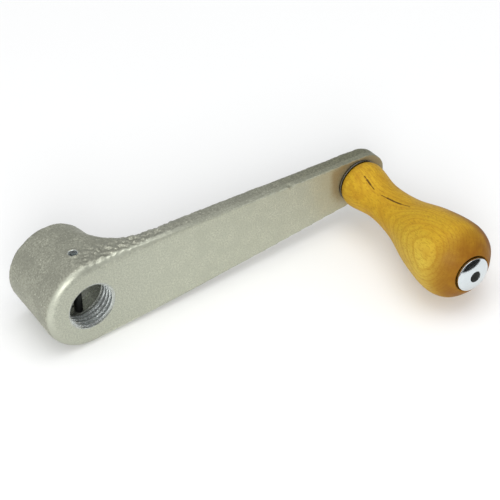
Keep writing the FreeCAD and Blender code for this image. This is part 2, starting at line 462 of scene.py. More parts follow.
def face_colour(n, front, along, speckle):
    """Grey of the flat face: speckled, stained and pitted, with painted shadow and painted reflection of the
    grip round the washer, and darker by the hub.
    """
    stains = n.noise(7.0 * MM, 4.0)
    pits = n.step(n.cells(3.4 * MM), 0.11, 0.05)
    colour = n.mix(n.step(speckle, 0.36, 0.64), shade(front, 0.86), shade(front, 1.12))
    colour = n.mix(n.times(n.step(stains, 0.35, 0.65), 0.6), colour, shade(front, 0.90))
    away = n.measure("DISTANCE", n.place, (GRIP_X, 0.0, 4.0 * MM))
    away = n.plus(away, n.wander(stains, 9.0 * MM))
    # painted shadow and painted reflection of the grip round the washer
    for start, full, strength, tint in WASHER_SHADOW_AND_REFLECTION:
        colour = n.mix(n.times(n.step(away, start * MM, full * MM), strength), colour, tint)
    colour = n.mix(n.times(pits, 0.35), colour, shade(front, 0.5))
    darker_by_hub = n.mix(n.step(speckle, 0.36, 0.64), shade(front, 0.70), shade(front, 0.92))
    return n.mix(n.times(n.step(along, 60.0 * MM, 0.0), 0.9), colour, darker_by_hub)


def cast_skin(settings):
    """Tinned skin of a sand casting: rough at the sides, with a painted highlight on the front edge, and flat
    in front.
    """
    n = Nodes("cast_skin")
    base, front = settings.skin_colour, settings.face_colour
    along, depth, high = n.split(n.place)
    ragged = n.plus(depth, n.wander(n.noise(1.6 * MM, 3.0), 0.9 * MM))
    flat = n.step(ragged, 0.55 * MM, 0.02 * MM)
    arm = n.step(along, 12.0 * MM, 66.0 * MM)
    side = n.math("MAXIMUM", n.step(ragged, 1.5 * MM, 3.4 * MM), n.times(arm, 0.85))
    lumpy = n.times(n.step(along, -8.0 * MM, 4.0 * MM), n.step(along, 66.0 * MM, 36.0 * MM))
    lumpy = n.times(lumpy, n.step(depth, 15.0 * MM, 9.0 * MM))
    grain = n.noise(0.9 * MM, 4.0, roughness=0.65)
    fine = n.noise(0.35 * MM, 2.0)
    speckle = n.noise(0.8 * MM, 3.0, roughness=0.6)
    # glint specks: a little smoother, and painted brighter in the wall colour as painted highlights
    aside = n.add("Mapping", {"Vector": n.place, "Location": (0.1, 0.2, 0.3)}).outputs[0]
    glints = n.step(n.noise(0.8 * MM, 2.0, place=aside), 0.60, 0.72)
    # the front edge, with its painted highlight and painted shade
    edge = edge_highlight_and_shade(n, front, along, high, speckle)
    walls = n.mix(side, edge, wall_colour(n, base, along, grain, glints))
    colour = n.mix(flat, walls, face_colour(n, front, along, speckle))
    rough = n.plus(n.plus(0.36, n.times(side, 0.18)), n.times(flat, 0.06))
    rough = n.minus(rough, n.times(glints, 0.12))
    wet = n.times(lumpy, n.step(depth, 1.6 * MM, 3.6 * MM))
    rough = n.minus(rough, n.times(wet, 0.20))
    rough = n.plus(rough, n.times(n.step(depth, 4.0 * MM, 2.0 * MM), 0.10))
    sand = n.bump(grain, 0.28 * MM, n.times(side, 0.65))
    bumps = n.bump(n.plus(fine, speckle), 0.10 * MM, n.plus(0.35, n.times(side, 0.35)), under=sand)
    return n.surface(Base_Color=colour, Metallic=0.75, Roughness=rough, Normal=bumps)


def machined_bore(settings):
    """Cut metal of the thread and the bore: tool rings, chatter and grime, darker in the mouth, and painted
    shade deep down.
    """
    n = Nodes("machined_bore")
    base = settings.bore_colour
    rings = n.noise(0.22 * MM, 2.0, stretch=(0.02, 1.0, 0.02))
    grime = n.noise(2.5 * MM, 4.0)
    colour = n.mix(n.step(rings, 0.3, 0.7), shade(base, 0.82), shade(base, 1.15))
    colour = n.mix(n.times(n.step(grime, 0.40, 0.65), 0.5), colour, shade(base, 0.5))
    reach = n.measure("LENGTH", n.vector("MULTIPLY", n.place, (1.0, 0.0, 1.0)))
    _, down, _ = n.split(n.place)
    # painted shade: deep in the bore, past the thread, the metal is painted dark
    deep = n.times(n.step(down, 8.0 * MM, 11.0 * MM), n.step(reach, 14.0 * MM, 12.5 * MM))
    colour = n.mix(n.times(deep, 0.75), colour, (0.20, 0.205, 0.15, 1.0))
    mouth = n.step(down, 0.9 * MM, 0.5 * MM)
    colour = n.mix(n.times(mouth, 0.55), colour, (0.30, 0.31, 0.25, 1.0))
    thread = n.step(down, 12.0 * MM, 10.0 * MM)
    chatter = n.bump(n.noise(0.9 * MM, 3.0), 0.22 * MM, n.times(thread, 0.8))
    bumps = n.bump(rings, 0.03 * MM, 0.6, under=chatter)
    rough = n.plus(0.18, n.times(grime, 0.18))
    return n.surface(Base_Color=colour, Metallic=0.8, Roughness=rough, Normal=bumps)


def steel(name, colour, roughness, metallic=1.0, wear=0.12):
    """Steel with fine turning marks and a little wear."""
    n = Nodes(name)
    marks = n.noise(0.3 * MM, 3.0, stretch=(1.0, 3.0, 1.0))
    stains = n.noise(2.0 * MM, 3.0)
    shaded = n.mix(n.step(stains, 0.35, 0.7), shade(colour, 1.0 - wear), shade(colour, 1.0 + wear))
    rough = n.plus(roughness, n.times(stains, roughness * 0.5))
    return n.surface(
        Base_Color=shaded, Metallic=metallic, Roughness=rough, Normal=n.bump(marks, 0.01 * MM, 0.3))


# ---------------------------------------------------------------- cast arm

WEB_REACH = 16.5 * MM           # how far the web runs out along the arm
WEB_RISE = 27.0 * MM            # and up the hub
ARM_ROOT = 11.6 * MM            # thickness at the hub's axis
ARM_TIP = 10.1 * MM             # thickness at the rounded end's centre
HUB_EDGE = 4.2 * MM             # rounding of the front edge round the hub
FRONT_EDGE = 1.5 * MM           # and towards the arm's end
BACK_EDGE = 3.8 * MM            # rounding of the arm's back edge
HUB_BACK_EDGE = 1.1 * MM
GRIND = 0.3 * MM                # metal left on the hub's back, which is machined
VOXEL = 0.48 * MM


def ramp(value, low, high):
    """0 below low, 1 above high and straight between."""
    return min(max((value - low) / (high - low), 0.0), 1.0)


def band(value, start, full, fade, end):
    """A rise from 0 at start to 1 at full, then a fall from 1 at fade to 0 at end."""
    return ramp(value, start, full) * ramp(value, end, fade)


def weigh(piece, name, weight):
    """A vertex group with a weight worked out from each vertex's place in millimetres."""
    group = piece.vertex_groups.new(name=name)
    for v in piece.data.vertices:
        value = weight(*(v.co / MM))
        if value > 0.0:
            group.add([v.index], value, "REPLACE")
    return group.name


def arm_wedge(name, start_y, end_y):
    """The arm's drafted outline: a hull drawn round a wide and a narrow frustum."""
    ends = []
    for radius, x in ((HUB_RADIUS, 0.0), (TIP_RADIUS, TIP_X)):
        ends.append(frustum(name, radius - HUB_DRAFT * start_y, radius - HUB_DRAFT * end_y, start_y, end_y, x))
    wedge = join(ends)
    with editing(wedge):
        bpy.ops.mesh.select_all(action="SELECT")
        bpy.ops.mesh.convex_hull()
        bpy.ops.mesh.dissolve_limited(angle_limit=math.radians(0.2))
    return wedge


def cut_plane(piece, point, normal):
    """In edit mode, cuts away what lies beyond a plane and closes the cut."""
    bpy.ops.mesh.select_all(action="SELECT")
    bpy.ops.mesh.bisect(plane_co=point, plane_no=normal, use_fill=True, clear_outer=True, clear_inner=False)


def arm_plate():
    """The flat arm, thinner towards its end, with rounded edges."""
    plate = arm_wedge("plate", 0.0, 2.0 * ARM_ROOT)
    slope = (ARM_ROOT - ARM_TIP) / TIP_X
    with editing(plate):
        cut_plane(plate, (0.0, ARM_ROOT, 0.0), (slope, 1.0, 0.0))
        close_up()
        select_where(plate, "EDGE", lambda e: edge_within(e, 0.8 * ARM_TIP, 1.2 * ARM_ROOT))
        bpy.ops.mesh.bevel(offset=BACK_EDGE, segments=6, affect="EDGES")
    least = FRONT_EDGE / HUB_EDGE

    def rounding(x, y, z):
        return 1.0 - (1.0 - least) * ramp(x, 4.0, 48.0) if abs(y) < 0.01 else 0.0

    front = weigh(plate, "front", rounding)
    shape(plate, "BEVEL", limit_method="VGROUP", vertex_group=front, width=HUB_EDGE, segments=6)
    return plate


def hub_blank():
    """The round hub, long enough to be faced at its back."""
    end = HUB_LENGTH + GRIND
    hub = frustum("hub", HUB_RADIUS, HUB_RADIUS - HUB_DRAFT * end, 0.0, end)
    with editing(hub):
        select_where(hub, "EDGE", lambda e: edge_within(e, -GRIND, GRIND))
        bpy.ops.mesh.bevel(offset=HUB_EDGE, segments=6, affect="EDGES")
        select_where(hub, "EDGE", lambda e: edge_within(e, HUB_LENGTH, 2.0 * HUB_LENGTH))
        bpy.ops.mesh.bevel(offset=HUB_BACK_EDGE, segments=4, affect="EDGES")
    return hub


def hub_web():
    """The hollow blend from the hub to the back of the arm."""
    sunk, proud = 0.9 * MM, 0.6 * MM        # below the arm's back, and outside the hub at the web's top
    root = 4.0 * MM
    foot_y = ARM_ROOT - sunk
    head_y = foot_y + WEB_RISE
    neck = HUB_RADIUS - HUB_DRAFT * head_y + proud
    quarter = arc((0.0, 0.0), 1.0, 270.0, 180.0, 20)
    hollow = [(neck + WEB_REACH * (1.0 + x), head_y + WEB_RISE * y) for x, y in quarter]
    flare = turned("flare", [(0.0, root), (neck + WEB_REACH, root)] + hollow + [(0.0, head_y)])
    web = arm_wedge("web", 0.0, head_y + 2.0 * MM)
    boolean(web, flare, "INTERSECT")
    return web


def roughen(piece, name, size, height, level, group):
    """Pushes the skin in and out with a cloud pattern of one size."""
    texture = bpy.data.textures.new(name, "CLOUDS")
    texture.noise_scale = size
    texture.noise_depth = 2
    shape(piece, "DISPLACE", texture=texture, strength=height, mid_level=level, vertex_group=group,
          texture_coords="LOCAL")


def cast_grain(piece, settings):
    """The sand's grain and slow swells on the walls, and hardly any in front."""
    def walls(x, y, z):
        smooth_edge = 2.2 * ramp(x, 14.0, -4.0)
        return max(ramp(y - smooth_edge, 1.2, 4.0), 0.04)

    group = weigh(piece, "skin", walls)
    roughen(piece, "swell", 7.0 * MM, 1.5 * settings.grain_height, 0.42, group)
    roughen(piece, "grain", 1.3 * MM, settings.grain_height, 0.42, group)


def tin_lumps(piece, settings):
    """Drips of tin that set along the arm's upper front edge, beside the hub."""
    group = weigh(piece, "lumps", lambda x, y, z: (
        band(x, -6.0, 3.0, 33.0, 78.0) * band(y, 0.6, 3.0, 10.0, 16.0) * ramp(z, 9.0, 13.0)))
    roughen(piece, "lumps", 2.1 * MM, settings.lump_height, 0.45, group)


def raise_burrs(piece):
    """Raises a low ring round each mouth of the hole that crosses the hub."""
    radius, width = 2.7, 0.9                # in millimetres, the width to either side
    group = weigh(piece, "burrs", lambda x, y, z: 1.0 - abs(math.hypot(x, y - PIN_Y / MM) - radius) / width)
    shape(piece, "DISPLACE", strength=0.6 * MM, mid_level=0.0, vertex_group=group)


def knock(piece):
    """A small knock in the arm's upper front edge."""
    place, reach = (109.5, 0.8, 14.6), 2.0  # in millimetres
    group = weigh(piece, "knock", lambda x, y, z: 1.0 - math.dist((x, y, z), place) / reach)
    shape(piece, "DISPLACE", strength=-0.8 * MM, mid_level=0.0, vertex_group=group)


def hub_cutter(settings):
    """What is bored and faced off along the hub's axis, with the thread's ridge joined on."""
    minor, relief, shaft = 10.9 * MM, 11.4 * MM, 10.9 * MM
    thread_end, relief_end = 10.4 * MM, 16.4 * MM
    mouth, mouth_end = minor + 2.1 * MM, 0.7 * MM
    before, past = -0.5 * MM, 3.0 * MM
    back = HUB_LENGTH - 0.8 * MM
    facing = 1.5 * HUB_RADIUS
    points = [
        (0.0, before), (mouth, before), (minor, mouth_end), (minor, thread_end), (relief, thread_end),
        (relief, relief_end), (shaft, relief_end), (shaft, back), (shaft + HUB_LENGTH - back, HUB_LENGTH),
        (facing, HUB_LENGTH), (facing, back + past), (0.0, back + past)]
    core = turned("bore_cutter", points, steps=144)
    foot, crest = minor - 0.3 * MM, minor + 1.15 * MM
    ridge = helix_ridge("thread", foot, crest, -0.1 * MM, thread_end, settings.thread_pitch)
    boolean(core, ridge, "UNION")
    return core


class HANDCRANK_OT_cast_arm(bpy.types.Operator):
    """Cast the arm and hub, grind its faces and cut its bores"""

    bl_idname = "handcrank.cast_arm"
    bl_label = "Cast Arm"

    def execute(self, context):
        settings = context.scene.hand_crank.casting
        arm = join([arm_plate(), hub_blank(), hub_web()])
        arm.name = "cast_arm"
        shape(arm, "REMESH", mode="VOXEL", voxel_size=VOXEL)
        shape(arm, "SMOOTH", factor=0.5, iterations=8)
        self.fillet(arm)
        cast_grain(arm, settings)
        tin_lumps(arm, settings)
        raise_burrs(arm)
        knock(arm)
        self.machine(arm, settings)
        self.paint(arm, settings)
        check_closed(arm)
        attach(arm, "crank")
        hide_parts("crank_arm")
        return {"FINISHED"}

    def fillet(self, arm):
        """Softens the hollow where the web runs into the hub, and the front edge beside it."""
        hollow = weigh(arm, "hollow", lambda x, y, z: (
            band(x, 2.0, 8.0, 40.0, 58.0) * band(y, 5.0, 11.0, 36.0, 38.0) * ramp(abs(z), 8.0, 12.0)))
        shape(arm, "SMOOTH", factor=0.5, iterations=300, vertex_group=hollow)
        edge = weigh(arm, "edge", lambda x, y, z: band(x, -8.0, -2.0, 5.0, 12.0) * ramp(y, 5.0, 3.5))
        shape(arm, "SMOOTH", factor=0.5, iterations=30, vertex_group=edge)

    def machine(self, arm, settings):
        """Bores, threads and faces the hub, drills it for the pin and sinks the nut's seat."""
        boolean(arm, hub_cutter(settings), "DIFFERENCE")
        drill = primitive("drill", bpy.ops.mesh.primitive_cylinder_add, vertices=32, radius=2.05 * MM,
                          depth=4.0 * HUB_RADIUS, location=(0.0, PIN_Y, 0.0))
        boolean(arm, drill, "DIFFERENCE")
        hole, spot, past, seat = BOLT_HOLE, 9.0 * MM, 2.0 * ARM_ROOT, SPRING_LOW.y
        outline = [(0.0, -past), (hole, -past), (hole, seat), (spot, seat), (spot, past), (0.0, past)]
        boolean(arm, turned("counterbore", outline, GRIP_X), "DIFFERENCE")

    def paint(self, arm, settings):
        """Cast skin all over, and cut metal on what the tools have touched."""
        for material in (cast_skin(settings), machined_bore(settings)):
            arm.data.materials.append(material)
        bore, drill = 12.5 * MM, 2.35 * MM  # a little wider than the tools
        for face in arm.data.polygons:
            centre = face.center
            bored = math.hypot(centre.x, centre.z) < bore and centre.y > 0.002 * MM
            faced = abs(centre.y - HUB_LENGTH) < 0.01 * MM
            drilled = math.hypot(centre.x, centre.y - PIN_Y) < drill
            if bored or faced or drilled:
                face.material_index = 1
        smooth(arm, 35.0)


# ---------------------------------------------------------------- grip

GRIP_PROFILE = [                # distance from the grip's inner end, and radius, in millimetres
    (0.0, 10.2), (1.2, 11.1), (4.6, 11.5), (18.6, 9.35), (35.2, 11.0),
    (52.2, 15.95), (68.3, 18.5), (76.0, 16.9), (80.6, 12.9), (82.95, 9.9),
]
SHORT_STREAK = [(8.6, 108.5), (11.0, 111.0), (14.0, 114.5), (17.2, 117.5)]   # along, and degrees round
LONG_STREAK = [(22.8, 117.0), (26.5, 113.5), (31.0, 110.0), (35.5, 105.5), (40.6, 99.5)]
FACE_ANGLE = 147.5              # degrees round the grip to the side the growth rings face
RING_DEPTHS = (-15.0, -12.6, -9.8, -7.4, -4.5, -2.1, 0.9, 3.1, 5.6, 7.9, 10.4, 12.9, 15.3, 17.2)
RING_STRENGTHS = (0.6, 0.5, 0.8, 0.5, 0.7, 0.4, 0.8, 0.5, 0.4, 0.6, 0.70, 0.35, 0.5, 0.4)
LOG_RADIUS = 0.12               # how strongly the rings bow
RECESS_Y = -82.25 * MM          # floor of the outer recess, just clear of the bolt head's seat


def grip_radius(along):
    """Radius in millimetres at a distance from the inner end, on a smooth line through the profile."""
    last = len(GRIP_PROFILE) - 1
    i = max(k for k in range(last) if GRIP_PROFILE[k][0] <= along or k == 0)
    knots = [GRIP_PROFILE[min(max(k, 0), last)] for k in (i - 1, i, i + 1, i + 2)]
    (x0, y0), (x1, y1), (x2, y2), (x3, y3) = knots
    span = x2 - x1
    t = (along - x1) / span
    slope_in = (y2 - y0) / (x2 - x0)
    slope_out = (y3 - y1) / (x3 - x1)
    return (
        (2 * t ** 3 - 3 * t ** 2 + 1) * y1 + (t ** 3 - 2 * t ** 2 + t) * span * slope_in
        + (3 * t ** 2 - 2 * t ** 3) * y2 + (t ** 3 - t ** 2) * span * slope_out)


def grip_point(along, angle):
    """A point on the grip's surface, in metres."""
    radius = grip_radius(along) * MM
    turn = math.radians(angle)
    return Vector((GRIP_X + radius * math.cos(turn), GRIP_HIGH.y - along * MM, radius * math.sin(turn)))


def segment(n, start, end, width):
    """Distance from a line between two points, less half the line's width."""
    line = end - start
    away = n.vector("SUBTRACT", n.place, start)
    along = n.measure("DOT_PRODUCT", away, line / line.length_squared)
    along = n.math("MAXIMUM", n.math("MINIMUM", along, 1.0), 0.0)
    near = n.add("VectorMath", {0: line, "Scale": along}, operation="SCALE").outputs[0]
    return n.minus(n.measure("DISTANCE", away, near), width / 2.0)


def streak(n, stations, width):
    """1 on a thin line through (distance along, angle) stations of the surface, 0 elsewhere."""
    points = [grip_point(*station) for station in stations]
    ragged = n.times(n.noise(1.2 * MM, 2.0), 0.3 * MM)
    nearest = None
    for i, (start, end) in enumerate(zip(points, points[1:])):
        thin = 0.45 if i in (0, len(points) - 2) else 1.0
        gap = segment(n, start, end, width * thin)
        nearest = gap if nearest is None else n.math("MINIMUM", nearest, gap)
    return n.step(n.plus(nearest, ragged), 0.32 * MM, 0.1 * MM)


def ring_depth(n, toward, beside):
    """How deep in the log each point lies, with the rings' bow, warp and ripple."""
    bow = n.times(n.times(beside, beside), 1.0 / (2.0 * LOG_RADIUS))
    warp = n.wander(n.noise(22.0 * MM, 2.0, (1.0, 0.5, 1.0)), 2.4 * MM)
    ripple = n.wander(n.noise(3.0 * MM, 2.0, (1.0, 0.4, 1.0)), 0.5 * MM)
    return n.plus(n.plus(toward, bow), n.plus(warp, ripple))


def soaked(n, figure, across, along):
    """Where the end colour goes: the outer end, partly end grain where the lacquer soaked in and partly
    painted shade, and the flank beside it, which is painted shade.
    """
    end = n.step(along, GRIP_LOW.y + 15.0 * MM, GRIP_LOW.y + 1.0 * MM)
    end = n.times(end, n.plus(0.62, n.times(figure, 0.5)))
    outer = n.step(along, GRIP_LOW.y + 44.0 * MM, GRIP_LOW.y + 18.0 * MM)
    # painted shade: the flank away from the lamps is painted dark
    flank = n.times(n.step(across, 3.0 * MM, 15.0 * MM), outer)
    return n.math("MAXIMUM", end, n.times(flank, n.plus(0.70, n.times(figure, 0.6))))


def lacquered_wood(settings):
    """Amber lacquered wood: growth rings seen from their face, fine pores and two pitch streaks."""
    n = Nodes("lacquered_wood")
    centred = n.add("Mapping", {"Vector": n.place, "Location": (-GRIP_X, 0.0, 0.0)}).outputs[0]
    faced = n.add("Mapping", {"Vector": centred, "Rotation": (0.0, math.radians(FACE_ANGLE), 0.0)}).outputs[0]
    toward, _, beside = n.split(faced)
    across, _, _ = n.split(centred)
    _, along, _ = n.split(n.place)
    depth = ring_depth(n, toward, beside)
    beat = n.math("FRACT", n.math("DIVIDE", depth, 1.25 * MM))
    lines = n.times(n.step(beat, 0.50, 0.88), n.step(beat, 1.0, 0.92))
    pores = n.noise(0.5 * MM, 3.0, (1.0, 0.25, 1.0))
    figure = n.noise(6.0 * MM, 4.0, (1.0, 0.45, 1.0), 0.6)
    mottle = n.noise(1.6 * MM, 3.0, (1.0, 0.7, 1.0), 0.6)
    knots = n.step(n.noise(8.0 * MM, 3.0, (1.0, 0.8, 1.0), 0.6), 0.50, 0.66)
    neck = n.step(along, -44.0 * MM, -12.0 * MM)
    # painted highlight: the grip's left side, towards the key lamp, is painted paler
    left = n.step(across, -8.0 * MM, -20.0 * MM)
    pale, ring = settings.pale_colour, settings.ring_colour
    yellow = (pale[0] * 0.91, pale[1] * 0.96, pale[2] * 1.1, 1.0)
    lit_side_colour = (pale[0] * 1.05, pale[1] * 1.28, pale[2] * 3.5, 1.0)
    ground = n.mix(n.step(toward, 4.0 * MM, 17.0 * MM), shade(pale, 1.04), yellow)
    colour = n.mix(n.step(figure, 0.35, 0.68), ground, n.mix(0.28, pale, ring))
    for amount, tint in (
        # painted highlight on the left side
        (n.times(left, 0.6), lit_side_colour),
        (n.times(n.step(mottle, 0.42, 0.72), 0.20), ring),
        (n.times(ring_ramp(n, depth), 0.46), ring),
        (n.times(lines, 0.42), ring),
        (n.times(n.times(knots, neck), 0.55), ring),
        (n.times(n.step(pores, 0.52, 0.64), 0.42), shade(ring, 0.7)),
        # end grain, and painted shade at the outer end and flank
        (soaked(n, figure, across, along), settings.end_grain_and_shade_colour),
    ):
        colour = n.mix(amount, colour, tint)
    streaks = n.math("MAXIMUM", streak(n, SHORT_STREAK, 0.70 * MM), streak(n, LONG_STREAK, 0.60 * MM))
    colour = n.mix(n.times(streaks, 0.9), colour, settings.streak_colour)
    bumps = n.bump(n.plus(pores, n.times(streaks, -2.0)), 0.03 * MM, 0.4)
    return n.surface(
        Base_Color=colour, Roughness=0.52, Normal=bumps, Coat_Weight=0.02, Coat_Roughness=0.30,
        Specular_IOR_Level=0.11)


def ring_ramp(n, depth):
    """Growth ring lines at their depths: each darkens slowly and ends sharply."""
    reach = 20.0 * MM
    place = n.plus(n.math("DIVIDE", depth, 2.0 * reach), 0.5)
    ramp = n.add("ValToRGB", {0: place})
    stops = ramp.color_ramp.elements
    stops[0].color = (0.0, 0.0, 0.0, 1.0)
    stops[1].color = (0.0, 0.0, 0.0, 1.0)
    for at, strength in zip(RING_DEPTHS, RING_STRENGTHS):
        middle = at * MM / (2.0 * reach) + 0.5
        stops.new(middle).color = (strength, strength, strength, 1.0)
        stops.new(middle + 0.007).color = (0.0, 0.0, 0.0, 1.0)
    return ramp.outputs["Color"]


class HANDCRANK_OT_grip(bpy.types.Operator):
    """Turn the wooden grip, bore it and lacquer it"""

    bl_idname = "handcrank.grip"
    bl_label = "Grip"

    def execute(self, context):
        settings = context.scene.hand_crank.grip
        inner, outer = GRIP_HIGH.y, GRIP_LOW.y
        bore, recess, chamfer = 6.1 * MM, 9.0 * MM, 0.25 * MM
        steps = 84
        length = GRIP_PROFILE[-1][0]
        along = [length * (0.5 - 0.5 * math.cos(math.pi * i / steps)) for i in range(steps + 1)]
        side = [(grip_radius(a) * MM, inner - a * MM) for a in along]
        lip = [(recess + chamfer, outer), (recess, outer + chamfer)]
        points = [(bore, inner)] + side + lip + [(recess, RECESS_Y), (bore, RECESS_Y), (bore, inner)]
        grip = turned("turned_grip", points, GRIP_X, 160)
        grip.data.materials.append(lacquered_wood(settings))
        smooth(grip, 40.0)
        check_closed(grip)
        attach(grip, "grip")
        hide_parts("grip")
        return {"FINISHED"}


# ---------------------------------------------------------------- fittings

def hexagon(name, across_flats, start_y, end_y, x):
    """A six-sided prism along Y with flats above and below."""
    corner = across_flats / math.sqrt(3.0)
    prism = frustum(name, corner, corner, start_y, end_y, x, sides=6)
    with editing(prism):
        bpy.ops.mesh.select_all(action="SELECT")
        bpy.ops.transform.rotate(value=TAU / 12.0, orient_axis="Y", center_override=(x, 0.0, 0.0))
    return prism


def thread_rings(outer, root, pitch, start_y, end_y):
    """Outline of a bolt's thread turned as rings, each with a narrow crest and a narrow root."""
    stations = ((outer, 0.0), (outer, 0.12), (root, 0.50), (root, 0.62))    # radius, and part of a pitch
    turns = int((end_y - start_y) / pitch)
    return [(r, start_y + pitch * (turn + part)) for turn in range(turns) for r, part in stations]


class HANDCRANK_OT_bolt(bpy.types.Operator):
    """Turn and polish the grip's bolt, with its thread, and broach its socket"""

    bl_idname = "handcrank.bolt"
    bl_label = "Grip Bolt"

    def execute(self, context):
        settings = context.scene.hand_crank.fittings
        radius, shank, chamfer = 8.5 * MM, 4.0 * MM, 0.8 * MM
        dome, edge, lip = 2.0 * MM, 3.2 * MM, 0.35 * MM
        top, end = BOLT_LOW.y, BOLT_HIGH.y
        seat = top + dome + edge
        ball = (radius ** 2 + dome ** 2) / (2.0 * dome)
        half = math.degrees(math.asin((radius - lip) / ball))
        crown = arc((0.0, top + ball), ball, -90.0, half - 90.0, 28)
        corner = arc((radius - lip, crown[-1][1] + lip), lip, half - 90.0, 0.0, 8)
        thread = thread_rings(shank, shank - 0.65 * MM, 1.25 * MM, SPRING_LOW.y, end - MM)
        point = [(shank, end - chamfer), (shank - chamfer, end), (0.0, end)]
        head = [(0.0, crown[0][1])] + crown[1:] + corner[1:] + [(radius, seat), (shank, seat)]
        bolt = turned("domed_bolt", head + thread + point, GRIP_X, 128)
        socket_end = top + 3.8 * MM
        socket = hexagon("socket", settings.socket_across_flats, top - 2.0 * MM, socket_end, GRIP_X)
        boolean(bolt, socket, "DIFFERENCE")
        mouth = settings.socket_across_flats / math.sqrt(3.0)
        countersink = frustum(
            "countersink", mouth + 1.2 * MM, mouth - 0.25 * MM, top - 1.0 * MM, top + 0.45 * MM, GRIP_X, 64)
        boolean(bolt, countersink, "DIFFERENCE")
        bolt.data.materials.append(steel("polished_steel", settings.polished_colour, 0.09, wear=0.02))
        bolt.data.materials.append(steel("oxide_socket", shade(settings.dark_colour, 3.0), 0.45, metallic=0.6))
        for face in bolt.data.polygons:
            inside = math.hypot(face.center.x - GRIP_X, face.center.z) < mouth + 0.1 * MM
            if inside and top + 0.3 * MM < face.center.y < seat:
                face.material_index = 1
        smooth(bolt)
        check_closed(bolt)
        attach(bolt, "crank")
        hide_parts("grip_bolt")
        return {"FINISHED"}


class HANDCRANK_OT_cross_pin(bpy.types.Operator):
    """Roll the slotted spring pin that crosses the hub"""

    bl_idname = "handcrank.cross_pin"
    bl_label = "Cross Pin"

    def execute(self, context):
        settings = context.scene.hand_crank.fittings
        radius, bore, chamfer, slit = 2.0 * MM, 1.2 * MM, 0.4 * MM, 0.7 * MM
        centre = ((PIN_LOW.x + PIN_HIGH.x) / 2.0, PIN_Y, 0.0)
        low, high = PIN_LOW.z, PIN_HIGH.z
        wall = [(bore, low), (radius - chamfer, low), (radius, low + chamfer), (radius, high - chamfer),
                (radius - chamfer, high), (bore, high), (bore, low)]
        half_slit = math.asin(slit / 2.0 / radius)
        pin = path("spring_pin", centre, [(0.0, r, z) for r, z in wall])
        with editing(pin):
            bpy.ops.mesh.select_all(action="SELECT")
            bpy.ops.mesh.remove_doubles(threshold=SAME_POINT)
            bpy.ops.mesh.edge_face_add()
            bpy.ops.transform.rotate(value=half_slit, orient_axis="Z", center_override=centre)
            bpy.ops.mesh.spin(steps=48, angle=TAU - 2.0 * half_slit, center=centre, axis=(0.0, 0.0, 1.0))
            close_up()
        bpy.ops.object.transform_apply(location=True, rotation=True, scale=True)
        pin.data.materials.append(steel("blackened_steel", settings.dark_colour, 0.32, metallic=0.9))
        pin.data.materials.append(steel("cropped_end", shade(settings.polished_colour, 0.6), 0.35))
        for face in pin.data.polygons:
            if abs(face.normal.z) > 0.5:
                face.material_index = 1
        smooth(pin)
        check_closed(pin)
        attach(pin, "crank")
        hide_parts("cross_pin")
        return {"FINISHED"}


def ring(name, outer, start_y, end_y, edge, steps=96):
    """A washer or tube on the grip's bolt, with rounded edges."""
    inner = BOLT_HOLE
    points = [(inner, start_y + edge)]
    points += arc((inner + edge, start_y + edge), edge, 180.0, 270.0, 4)[1:]
    points += arc((outer - edge, start_y + edge), edge, 270.0, 360.0, 4)
    points += arc((outer - edge, end_y - edge), edge, 0.0, 90.0, 4)
    points += arc((inner + edge, end_y - edge), edge, 90.0, 180.0, 4)
    points.append(points[0])
    return turned(name, points, GRIP_X, steps)


class HANDCRANK_OT_washers_and_nut(bpy.types.Operator):
    """Make the flat washer, the sleeve, the spring washer and the thin nut"""

    bl_idname = "handcrank.washers_and_nut"
    bl_label = "Washers and Nut"

    def execute(self, context):
        settings = context.scene.hand_crank.fittings
        # dark plated colour, partly painted shade for the washer between the arm and the grip
        plated = steel("plated_steel_shaded", settings.plated_and_shade_colour, 0.22)
        sleeve_low, sleeve_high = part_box("spacer_sleeve")
        washer_radius = (WASHER_HIGH.x - WASHER_LOW.x) / 2.0
        sleeve_radius = (sleeve_high.x - sleeve_low.x) / 2.0
        pieces = {
            "inner_washer": ring("flat_washer", washer_radius, WASHER_LOW.y, WASHER_HIGH.y, 0.35 * MM),
            "spacer_sleeve": ring("sleeve", sleeve_radius, sleeve_low.y, sleeve_high.y, 0.3 * MM, 64),
            "lock_washer": self.spring_washer(),
            "lock_nut": self.thin_nut(),
        }
        for node, piece in pieces.items():
            piece.data.materials.append(plated)
            smooth(piece)
            check_closed(piece)
            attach(piece, "crank")
            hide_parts(node)
        return {"FINISHED"}

    def spring_washer(self):
        """A ring cut through on its upper side."""
        outer = SPRING_HIGH.z
        washer = ring("spring_washer", outer, SPRING_LOW.y, SPRING_HIGH.y, 0.15 * MM)
        gap = primitive("gap", bpy.ops.mesh.primitive_cube_add, size=1.0, scale=(1.2 * MM, 4.0 * MM, outer),
                        location=(GRIP_X, SPRING_LOW.y, outer * 0.75))
        boolean(washer, gap, "DIFFERENCE")
        return washer

    def thin_nut(self):
        """A hexagon with its corners turned down, drilled and countersunk."""
        flats, tap = 13.0 * MM, 4.05 * MM
        corner, flat = flats / math.sqrt(3.0) + 0.1 * MM, 0.48 * flats
        bevel = (corner - flat) * math.tan(math.radians(30.0))
        low, high = NUT_LOW.y, NUT_HIGH.y
        nut = hexagon("thin_nut", flats, low - MM, high + MM, GRIP_X)
        rim = [(flat, low), (corner, low + bevel), (corner, high - bevel), (flat, high)]
        limit = turned("limit", [(0.0, low)] + rim + [(0.0, high)], GRIP_X, 89)
        with editing(limit):
            turn_off_seam(GRIP_X)
        boolean(nut, limit, "INTERSECT")
        boolean(nut, frustum("tap_drill", tap, tap, low - MM, high + MM, GRIP_X, 64), "DIFFERENCE")
        mouth = frustum("mouth", 3.7 * MM, 5.0 * MM, high - 1.0 * MM, high + 0.3 * MM, GRIP_X, 64)
        boolean(nut, mouth, "DIFFERENCE")
        return nut


# ---------------------------------------------------------------- stage

